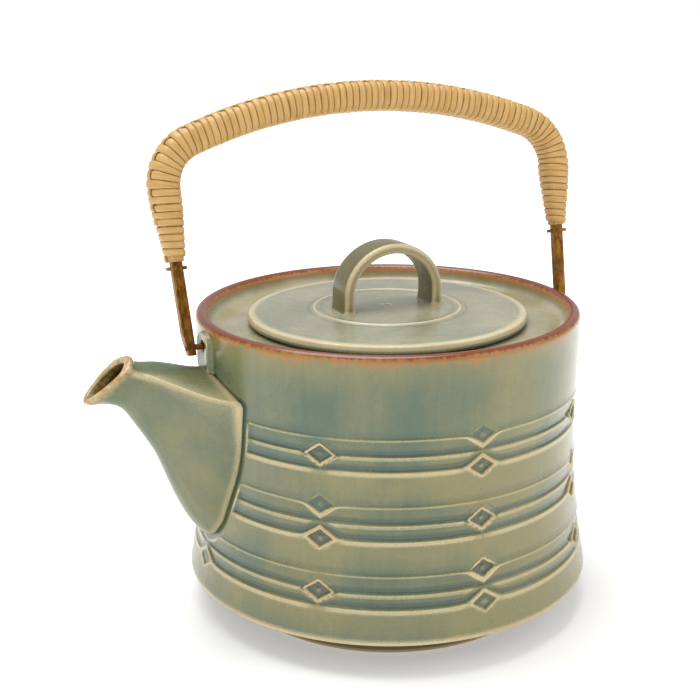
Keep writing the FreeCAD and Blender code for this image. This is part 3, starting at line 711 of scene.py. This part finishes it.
def pot_section():
    """Half section of the pot, from the middle of its underside over the rim to its floor inside."""
    points = [(0.0, FOOT_RECESS), (FOOT - FOOT_WIDE - 1.2, FOOT_RECESS)]
    points += arc((FOOT - FOOT_WIDE - 1.2, FOOT_RECESS - 1.2), 1.2, 90, 0, 4)[1:]
    points += arc((FOOT - FOOT_WIDE + 1.2, 1.2), 1.2, 180, 270, 5)
    points += arc((FOOT - 1.4, 1.4), 1.4, 270, 352, 6)
    points += [(FOOT + 0.5, 4.5)]
    points += arc((FOOT + 3.2, FOOT_UP - 2.2), 2.2, 175, 105, 5)
    points += [(70.0, 10.0), (76.0, 11.9)]
    points += arc((BASE - 1.9, BASE_UP + 0.75), 1.6, -72, 8, 8)
    rows = [BASE_UP + 1.6]
    while rows[-1] < CREST - 4.0:
        carved = CREST - 99.0 < rows[-1] < CREST - 14.0
        rows.append(rows[-1] + (CARVED_ROW if carved else PLAIN_ROW))
    points += [(float(wall_radius(z)), z) for z in rows[1:]]
    points += arc((RIM - LIP_ROUND, CREST - LIP_ROUND), LIP_ROUND, 0, 90, 7)
    points += arc((RIM - LIP + LIP_ROUND, CREST - LIP_ROUND), LIP_ROUND, 96, 180, 6)
    points += [(RIM - LIP - 0.05, SEAT + 3.6)]
    points += arc((RIM - LIP - 3.0, SEAT + 3.0), 3.0, 0, -90, 6)[1:]
    points += [(r, SEAT) for r in (64.0, 60.0, 56.5, 53.0)]
    points += arc((MOUTH + 1.0, SEAT - 1.0), 1.0, 90, 180, 4)
    points += arc((MOUTH + 1.0, CEILING + 1.0), 1.0, 180, 270, 4)
    inner = WAIST - WALL
    points += arc((inner - 5.0, CEILING - 9.0), 5.0, 80, 0, 5)
    points += [(inner, z) for z in (96.0, 86.0)]
    points += [(inner + (BASE - WAIST) * ((WAIST_UP - z) / (WAIST_UP - 18.4)) ** 1.6, z)
               for z in (77.0, 64.0, 52.0, 40.0, 30.0)]
    points += arc((BASE - WALL - 7.4, 18.6 + 2.0), 7.0, 15, -80, 8)
    points += [(56.0, FLOOR + 0.4), (30.0, FLOOR), (0.0, FLOOR)]
    return points


def worth_dividing(middles):
    """Which places (x, y, z) on the wall lie by a lozenge or by the spout's root."""
    angle = np.arctan2(middles[:, 1], middles[:, 0])
    below = CREST - middles[:, 2]
    column, along = nearest_column(angle)
    found = np.zeros(len(middles), dtype=bool)
    for group, lines in enumerate(BANDS):
        for line, level in enumerate(lines):
            has_one = (group + line + column) % 2 == 0
            level_with = np.abs(below - level) < LOZENGE[1] + 1.2
            found |= has_one & level_with & (np.abs(along) < LOZENGE[0] + 2.2)
    beside, _ = away_from_root(angle, middles[:, 2])
    from_pin = np.hypot(middles[:, 1], middles[:, 2] - PIN_UP)
    return found | (beside < 3.6) | (from_pin < HOLE + 2.4)


def make_pot():
    """A turned body with finer faces by the lozenges and the spout; the carving moves its wall in."""
    bm = revolved(pot_section(), COLUMNS, closed=False)
    bmesh.ops.remove_doubles(bm, verts=bm.verts, dist=1e-3)
    ends = [(e, e.verts[0].co, e.verts[1].co) for e in bm.edges]
    level = [e for e, a, b in ends if abs(a.z - b.z) < 1e-5 and BASE_UP + 2 < a.z < CREST - 3
             and a.xy.length > WAIST - 2.0 and abs(a.xy.length - b.xy.length) < 1e-4]
    chosen = worth_dividing(np.array([((e.verts[0].co + e.verts[1].co) / 2)[:] for e in level]))
    fine = [e for e, yes in zip(level, chosen) if yes]
    bmesh.ops.subdivide_edges(bm, edges=fine, cuts=3, use_grid_fill=True)
    pot = finished(bm, "thrown_pot", "pot", POT_GLAZE, ["pot_body"], crease=60.0)
    mesh = pot.data
    co = coordinates(mesh)
    radius, angle, z = np.hypot(co[:, 0], co[:, 1]), np.arctan2(co[:, 1], co[:, 0]), co[:, 2]
    lie = lie_by_shape(mesh, 0.9, 2)
    wall = (radius > wall_radius(z) - 1.0) & (z > BASE_UP + 2.2) & (z < CREST - 3.0)
    a, h = angle[wall], z[wall]
    depth = relief(a, h)
    carved = wall_radius(h) - depth
    radius[wall] = carved
    lie_wall = np.full(len(a), 0.5)
    for reach, gain in ((0.8, 0.5), (2.6, 0.75)):
        around = np.zeros(len(a))
        for turn in np.linspace(0, 2 * pi, 9)[:-1]:
            around += relief(a + reach * cos(turn) / WAIST, h + reach * sin(turn)) / 8
        lie_wall += gain * (around - depth)
    below = CREST - h
    for line in EDGES:
        lie_wall += 0.09 * fading(below - line, 4.0)
    for lines in BANDS:
        lie_wall -= 0.14 * fading(lines[0] - below, 4.5)
    beside, _ = away_from_root(a, h)
    lie_wall -= 0.16 * (1 - smoothstep((beside - 0.8) / 1.4))
    lie_wall -= 0.16 * np.clip(depth, 0.0, CARVED)
    lie[wall] = np.maximum(lie_wall, 0.24)
    base_edge = (radius > BASE - 3.5) & (z < BASE_UP + 4.0)
    lie += np.where(base_edge, 0.4 * near(z, BASE_UP + 0.2, 1.0), 0.0)
    co[:, 0], co[:, 1] = radius * np.cos(angle), radius * np.sin(angle)
    mesh.vertices.foreach_set("co", (co * MM).ravel())
    add_values(mesh, "glaze", lie)
    mesh.update()
    return pot


# -------------------- the spout's mesh

def make_spout():
    """The spout from inside the wall out to its lip and back in through its channel."""
    rings = [[Vector((p.x * ROOT_INSIDE, p.y * ROOT_INSIDE, p.z)) for p in
              (spout_ring(meet, ROOT_INSET)[i] for i, meet in enumerate(MEETS))]]
    step_length = SPOUT[1][0] - SPOUT[0][0]
    for far in (0.0, 0.12, 0.4, 0.85, 1.4, 2.0, ROOT_ROUND):
        inset = ROOT_INSET * (1 - sqrt(1 - (1 - far / ROOT_ROUND) ** 2))
        rings.append([spout_ring(meet + far / step_length, inset)[i] for i, meet in enumerate(MEETS)])
    starts = [meet + ROOT_ROUND / step_length for meet in MEETS]
    for share in [0.015, 0.035] + [0.06 + 0.94 * i / 30 for i in range(31)]:
        rings.append([spout_ring(start + (4.0 - start) * share)[i] for i, start in enumerate(starts)])
    outer, inner = rings[-1], spout_ring(4.0, SPOUT_WALL)
    middle = sum(outer, Vector()) / len(outer)
    ahead = (middle - sum(spout_ring(3.8), Vector()) / len(outer)).normalized()
    lip = SPOUT_WALL / 2 + 0.3
    for ring, share in zip(rings[-5:], (0.1, 0.3, 0.6, 0.9, 1.0)):
        for p in ring:
            away = p - middle
            p += (away - ahead * away.dot(ahead)).normalized() * LIP_FLARE * share - ahead * lip * share
            p.x = max(p.x, 1.0 - SPOUT_TIP)
    inner = [p - ahead * lip for p in inner]
    for i in range(1, 9):
        turn = pi * i / 8
        rings.append([a.lerp(b, 0.5 - 0.5 * cos(turn)) + ahead * (lip * 0.85 * sin(turn))
                      for a, b in zip(outer, inner)])
    lip_row = len(rings) - 3
    rings += [spout_ring(3.85 - 0.11 * i, SPOUT_WALL) for i in range(25)]
    spout = finished(tube(rings, ring_closed=True), "spout_body", "pot", SPOUT_GLAZE, ["spout"],
                     crease=75.0)
    rows, places = (np.empty(len(spout.data.vertices), dtype=np.int32) for _ in range(2))
    spout.data.attributes["ring_row"].data.foreach_get("value", rows)
    spout.data.attributes["ring_place"].data.foreach_get("value", places)
    points = np.array([[tuple(p) for p in ring] for ring in rings])
    lie = 0.5 + 0.26 * near(np.linalg.norm(points - points[4], axis=2), 0.0, 2.3)
    for shoulder in SHOULDERS:
        ridge = points[:, shoulder:shoulder + 1]
        lie += 0.30 * near(np.linalg.norm(points - ridge, axis=2), 0.0, 2.1)
    lie[:3] = 0.4
    add_values(spout.data, "glaze", np.minimum(lie, 0.86)[rows, places])
    add_values(spout.data, "inside", smoothstep((rows - lip_row) / 7))
    add_values(spout.data, "lip", near(rows, lip_row - 3, 4.0))
    return spout


# -------------------- ears

def make_ear(name, side):
    """An ear with its hinge hole; the side is -1 over the spout and 1 at the back."""
    low, high = CREST - EAR_BOTTOM, CREST - EAR_TOP
    outline = rounded([(-EAR_HALF, low, 2.0), (EAR_HALF, low, 2.0), (EAR_HALF, high, EAR_HALF * 0.9),
                       (-EAR_HALF, high, EAR_HALF * 0.9)], 8)
    centre = Vector((0.0, PIN_UP))

    def ring(share, x, grow=0.0):
        """The outline, drawn in towards the hole by a share of the way, or grown outwards."""
        points = []
        for out in map(Vector, outline):
            away = (out - centre).normalized()
            at = out.lerp(centre + away * HOLE, share) + away * grow
            points.append((side * x, at.x, at.y))
        return points

    rings = [ring(0.0, 74.0, 0.9), ring(0.0, EAR_FACE - 1.2, 0.25), ring(0.0, EAR_FACE - 0.55, 0.0),
             ring(0.03, EAR_FACE - 0.15)]
    sunk = ((0.08, 0.0), (0.2, 0.0), (0.5, 0.25), (0.82, 0.3), (0.95, 0.42), (1.0, 0.8), (1.0, HOLE_DEEP))
    rings += [ring(share, EAR_FACE - back) for share, back in sunk]
    ear = finished(tube(rings), name, "pot", SPOUT_GLAZE, ["ear_" + name.split("_")[1]],
                   crease=60.0)
    add_values(ear.data, "glaze", lie_by_shape(ear.data, 0.8, 1))
    return ear


# -------------------- lid

def make_lid():
    """The lid, turned in one with the skirt under it, its bead and its vent."""
    fall = (LID_CROWN - LID_TOP) / LID

    def top(r):
        return LID_CROWN - fall * r

    points = [(VENT, LID_CROWN - 4.2), (SKIRT - SKIRT_WALL - 3.0, LID_UNDER)]
    points += arc((SKIRT - SKIRT_WALL - 1.5, LID_UNDER - 1.5), 1.5, 90, 0, 4)
    points += arc((SKIRT - SKIRT_WALL + 1.6, LID_UNDER - SKIRT_DEEP + 1.6), 1.6, 180, 270, 5)
    points += arc((SKIRT - 1.6, LID_UNDER - SKIRT_DEEP + 1.6), 1.6, 270, 360, 5)
    points += [(SKIRT, LID_UNDER - 1.0), (SKIRT + 0.6, LID_UNDER), (LID - 3.2, LID_UNDER)]
    points += arc((LID - 1.9, LID_UNDER + 1.9), 1.9, 280, 372, 9)
    points += [(LID - 1.0 + 0.8 * cos(a), LID_TOP - 0.95 + 0.95 * sin(a))
               for a in np.radians(np.linspace(15, 80, 5))]
    points += [(LID - inwards, top(LID - inwards)) for inwards in (2.0, 2.8, 3.6, 4.6, 6.0, 8.0)]
    points += [(r, top(r)) for r in (45.0, 40.0, 36.0, 33.0, 31.0)]
    for i in range(9):
        r = BEAD + BEAD_WIDE / 2 - BEAD_WIDE * i / 8
        points.append((r, top(r) + BEAD_HIGH * sin(pi * i / 8)))
    points += [(r, top(r)) for r in (26.5, 24.0, 20.0, 15.0, 10.0, 6.0, 3.2)]
    points += arc((VENT + 0.7, top(2.0) - 0.7), 0.7, 90, 180, 4)
    bm = revolved(points, LID_COLUMNS, closed=True)
    lid = finished(bm, "turned_lid", "lid", LID_GLAZE, ["lid"], crease=60.0)
    co = coordinates(lid.data)
    r, z = np.hypot(co[:, 0], co[:, 1]), co[:, 2]
    upper = z > LID_TOP - 1.6
    lie = np.full(len(r), 0.5)
    # the glaze runs thin at the edge, the bead and the vent; the wide light ring at the edge is partly thin
    # glaze and partly a painted highlight
    thin = 0.4 * near(r, LID - 0.8, 2.6) + 0.42 * near(r, BEAD, 0.8) + 0.5 * near(r, VENT, 0.8)
    pooled = 0.2 * near(np.abs(r - BEAD), 2.0, 0.9)
    # painted shade: below the top, the side and underside are pushed towards the pooled colour, darker
    # further down
    lie += np.where(upper, thin - pooled, -0.35 * smoothstep((LID_TOP - 1.6 - z) / 1.4))
    add_values(lid.data, "glaze", lie)
    return lid


# -------------------- arches

class Arch:
    """A leg, a corner and a crown, each tangent to the next, and their mirror image, in (x, up).

    Distances run from the foot on the -X side to the foot on the +X side.
    """

    def __init__(self, span, flare, corner, crown, height, start):
        lean = radians(flare)
        self.along = Vector((sin(lean), cos(lean)))
        inwards = Vector((-cos(lean), sin(lean)))
        self.middle = Vector((0.0, height - crown))
        hub = Vector((span, 0.0)) + inwards * corner
        base = hub - self.middle
        reach = crown - corner
        half_b = base.dot(self.along)
        climb = -half_b + sqrt(half_b**2 - base.dot(base) + reach**2)
        self.elbow = hub + self.along * climb
        skipped = start / cos(lean)
        self.begin = Vector((span, 0.0)) + self.along * skipped
        self.leg = climb - skipped
        self.corner, self.crown = corner, crown
        out = self.elbow - self.middle
        self.first = atan2(-inwards.y, -inwards.x)
        self.turn = atan2(out.y, out.x) - self.first
        self.half = self.leg + corner * self.turn + crown * (pi / 2 - atan2(out.y, out.x))

    def from_foot(self, distance):
        """The distance along the arch from the nearer foot."""
        return min(distance, 2 * self.half - distance)

    def at(self, distance):
        """The point and the outward direction at a distance along the arch."""
        d = self.from_foot(distance)
        if d < self.leg:
            point = self.begin + self.along * d
            out = Vector((self.along.y, -self.along.x))
        elif d < self.leg + self.corner * self.turn:
            a = self.first + (d - self.leg) / self.corner
            out = Vector((cos(a), sin(a)))
            point = self.elbow + out * self.corner
        else:
            a = self.first + self.turn + (d - self.leg - self.corner * self.turn) / self.crown
            out = Vector((cos(a), sin(a)))
            point = self.middle + out * self.crown
        if distance < self.half:
            return Vector((-point.x, point.y)), Vector((-out.x, out.y))
        return point, out


def strap_corners(thick, wide, inner, outer):
    """Corners of a flat section from its half sizes, with the radii of its inner and outer corners."""
    return [(-thick, -wide, inner), (thick, -wide, outer), (thick, wide, outer), (-thick, wide, inner)]


def make_strap():
    """The lid's handle: a flat strap bent to an arch, its feet spread on the lid."""
    arch = Arch(STRAP_SPAN, 0.0, 16.0, 20.0, STRAP_UP, -1.6)
    rings = []
    steps = 64
    outline = rounded(strap_corners(STRAP_THICK / 2, STRAP_WIDE / 2, 1.5, 1.7), 4)
    for i in range(steps + 1):
        d = 2 * arch.half * i / steps
        point, out = arch.at(d)
        grow = 1.0 + 0.5 * exp(-arch.from_foot(d) / 1.6)
        rings.append([(point.x + out.x * a * grow, b * (1 + 0.10 * (grow - 1)),
                       CREST + point.y + out.y * a * grow) for a, b in outline])
    strap = finished(tube(rings), "lid_strap", "lid", STRAP_GLAZE, ["lid_handle"], crease=70.0)
    add_values(strap.data, "glaze", lie_by_shape(strap.data, 1.7, 1))
    return strap


# -------------------- bail

BAIL_CROWN = (BAIL_SPAN**2 + BAIL_RISE**2) / (2 * BAIL_RISE)
BAIL = Arch(BAIL_SPAN, BAIL_FLARE, BAIL_CORNER, BAIL_CROWN, BAIL_UP, 0.0)
LEG_UP = cos(radians(BAIL_FLARE))
FIRST_TURN = CANE_START / LEG_UP + 1.4      # where the strip starts along the bail


def leaned(bm):
    """Turn a piece drawn in the bail's frame to the bail's lean, about the pins."""
    turn = Matrix.Rotation(radians(-LEAN), 3, "X")
    bmesh.ops.rotate(bm, cent=(0, 0, PIN_UP), matrix=turn, verts=bm.verts)


def bail_place(distance, outward, sideways):
    """A point of the bail, off its middle line."""
    point, out = BAIL.at(distance)
    return (point.x + out.x * outward, sideways, PIN_UP + point.y + out.y * outward)


def grip_half_sizes(distance):
    """Half thickness and half width of the bound grip at a distance along the bail."""
    swelling = (BAIL.from_foot(distance) * LEG_UP - CANE_START) / (CANE_FULL - CANE_START)
    share = float(smoothstep(swelling) + np.clip(swelling, 0, 1)) / 2
    return ((GRIP_END_THICK + (GRIP_THICK - GRIP_END_THICK) * share) / 2,
            (GRIP_END_WIDE + (GRIP_WIDE - GRIP_END_WIDE) * share) / 2)


def cane_turns():
    """How many turns the strip makes, and their exact pitch."""
    length = 2 * (BAIL.half - FIRST_TURN)
    turns = int(length / STRIP_PITCH)
    return turns, length / turns


def wound_place(distance, phase, height):
    """A point on the grip: along the bail, round it from its outer side, and over its surface."""
    half_thick, half_wide = grip_half_sizes(distance)
    c, s = cos(phase), sin(phase)
    size = (abs(c / half_thick) ** SQUARE + abs(s / half_wide) ** SQUARE) ** (-1 / SQUARE) + height
    return bail_place(distance, c * size, s * size)


def map_strip(bm, place):
    """Give a strip its map (along, across), from a function of each vertex."""
    uv = bm.loops.layers.uv.new("strip")
    for face in bm.faces:
        for loop in face.loops:
            loop[uv].uv = place(loop.vert)


def make_wound_cane():
    """One long strip: a flat grid is rolled into the strip's section and wound round the bail."""
    turns, pitch = cane_turns()
    steps = 30
    half = STRIP_WIDE / 2
    right = [(half - 0.1, -0.5), (half, -0.05), (half * 0.86, 0.24), (half * 0.5, 0.36)]
    left = [(-across, height) for across, height in reversed(right)]
    section = left[-1:] + right + [(0.0, 0.4)] + left
    length, rows = turns * steps, len(section) - 1
    bm = bmesh.new()
    bmesh.ops.create_grid(bm, x_segments=length, y_segments=rows, size=0.5)
    map_strip(bm, lambda v: ((v.co.x + 0.5) * turns * TURN_LONG, v.co.y + 0.5))
    random = np.random.default_rng(11)
    shift = random.uniform(-0.16, 0.16, turns + 2)
    swell = random.uniform(-0.06, 0.10, turns + 2)
    for v in bm.verts:
        turned = (v.co.x + 0.5) * turns
        across, height = section[int(round((v.co.y + 0.5) * rows))]
        turn = int(turned)
        share = turned - turn
        phase = share * 2 * pi
        wander = shift[turn] * (1 - share) + shift[turn + 1] * share
        distance = FIRST_TURN + pitch * turned + across + wander
        foot = BAIL.from_foot(distance) * LEG_UP
        lift = swell[turn] * (1 - share) + swell[turn + 1] * share
        if foot > RUNNER_START + 3.0 and cos(phase) > 0:
            _, half_wide = grip_half_sizes(distance)
            beside_runner = float(smoothstep((3.4 - abs(sin(phase)) * half_wide) / 1.9))
            over = int(floor(turned + 0.5)) % 2 == 0
            lift += beside_runner * (OVER if over else UNDER)
        v.co = wound_place(distance, phase, height - 0.42 + lift)
    leaned(bm)
    bmesh.ops.remove_doubles(bm, verts=bm.verts, dist=1e-4)
    bmesh.ops.holes_fill(bm, edges=[e for e in bm.edges if e.is_boundary], sides=len(section))
    return finished(bm, "wound_cane", "bail", CANE, ["cane_binding"], crease=50.0)


def make_runner():
    """The flat strip along the outside, over and under the turns."""
    start, stop = RUNNER_START / LEG_UP, 2 * BAIL.half - RUNNER_START / LEG_UP
    pitch = cane_turns()[1]
    steps = int((stop - start) / 0.55)
    half, thick = RUNNER_WIDE / 2, RUNNER_THICK / 2
    rings = []
    for i in range(steps + 1):
        distance = start + (stop - start) * i / steps
        wave = cos(pi * (distance - FIRST_TURN) / pitch)
        half_thick, _ = grip_half_sizes(distance)
        level = half_thick - 0.15 - 0.42 * wave
        section = rounded(strap_corners(thick, half, 0.2, 0.3), 2)
        rings.append([bail_place(distance, level + a, b) for a, b in section])
    bm = tube(rings)
    leaned(bm)
    row, place = (bm.verts.layers.int["ring_" + name] for name in ("row", "place"))
    map_strip(bm, lambda v: (v[row] * (stop - start) / steps, v[place] / len(section)))
    return finished(bm, "laced_runner", "bail", CANE, ["cane_runner"], crease=50.0)


def on_cad(node, material):
    """Give a CAD node its material."""
    piece = bpy.data.objects[node]
    piece.data.materials.clear()
    piece.data.materials.append(material)


# -------------------- camera, light and floor

CAMERA_AT = (-0.2145, -0.4251, 0.2380)
BEARING, PITCH, ROLL = radians(25.0), 0.2824, -0.0061
LENS = 63.8


def make_camera():
    data = bpy.data.cameras.new("camera")
    camera = placed("camera", data)
    forward = Vector((sin(BEARING) * cos(PITCH), cos(BEARING) * cos(PITCH),
                      -sin(PITCH)))
    turn = forward.to_track_quat("-Z", "Y").to_matrix() @ Matrix.Rotation(ROLL, 3, "Z")
    camera.matrix_world = Matrix.Translation(CAMERA_AT) @ turn.to_4x4()
    data.lens = LENS
    data.sensor_width = 36.0
    data.clip_start, data.clip_end = 0.05, 10.0
    bpy.context.scene.camera = camera


def soft_light(name, place, target, size, power, shine=1.0):
    data = bpy.data.lights.new(name, "AREA")
    data.shape = "RECTANGLE"
    data.size, data.size_y = size
    data.energy = power
    data.specular_factor = shine
    light = placed(name, data)
    light.location = place
    light.rotation_euler = (Vector(target) - Vector(place)).to_track_quat("-Z", "Y").to_euler()


ROOM_LIGHT = 0.5            # strength of the light from all round; the camera sees plain white


def make_studio():
    scene = bpy.context.scene
    scene.view_settings.view_transform = "Standard"
    world = bpy.data.worlds.new("studio")
    scene.world = world
    world.use_nodes = True
    tree = Tree(world.node_tree)
    background = world.node_tree.nodes["Background"]
    background.inputs["Color"].default_value = (1.0, 1.0, 1.0, 1)
    seen = tree.node("ShaderNodeLightPath").outputs["Is Camera Ray"]
    tree.feed(background.inputs["Strength"], tree.math("MAXIMUM", seen, ROOM_LIGHT))
    middle = (0.0, 0.0, 0.08)
    soft_light("left_softbox", (-0.65, -0.45, 0.45), middle, (0.5, 0.7), 1.0, 0.5)
    soft_light("right_softbox", (0.55, -0.5, 0.45), middle, (0.5, 0.7), 1.1, 0.25)
    soft_light("top_softbox", (-0.1, 0.15, 0.95), middle, (0.7, 0.7), 7.4)
    bm = bmesh.new()
    bmesh.ops.create_grid(bm, x_segments=1, y_segments=1, size=40.0)
    mesh = bpy.data.meshes.new("table")
    bm.to_mesh(mesh)
    bm.free()
    table = placed("table", mesh)
    paper, tree, shader, place = new_material("white_paper")
    shader["Base Color"].default_value = (0.88, 0.88, 0.88, 1)
    shader["Roughness"].default_value = 0.85
    far = tree.node("ShaderNodeVectorMath", operation="LENGTH")
    tree.feed(far.inputs[0], place)
    # painted light: the floor glows, dimmer near the pot and brighter far off, standing for paper lit white
    # beyond the pot, and it lights the pot from below
    shader["Emission Color"].default_value = (1, 1, 1, 1)
    tree.feed(shader["Emission Strength"], tree.band(far.outputs["Value"], 70.0, 300.0, 0.28, 0.7))
    mesh.materials.append(paper)


make_camera()
make_studio()
make_pot()
make_spout()
make_ear("ear_spout_pad", -1)
make_ear("ear_back_pad", 1)
make_lid()
make_strap()
make_wound_cane()
make_runner()
for node in ("bail_bar", "pivot_pin_spout", "pivot_pin_back", "collar_spout", "collar_back"):
    on_cad(node, BRASS)
for node in ("half_cane_front", "half_cane_rear"):
    on_cad(node, CORE_CANE)
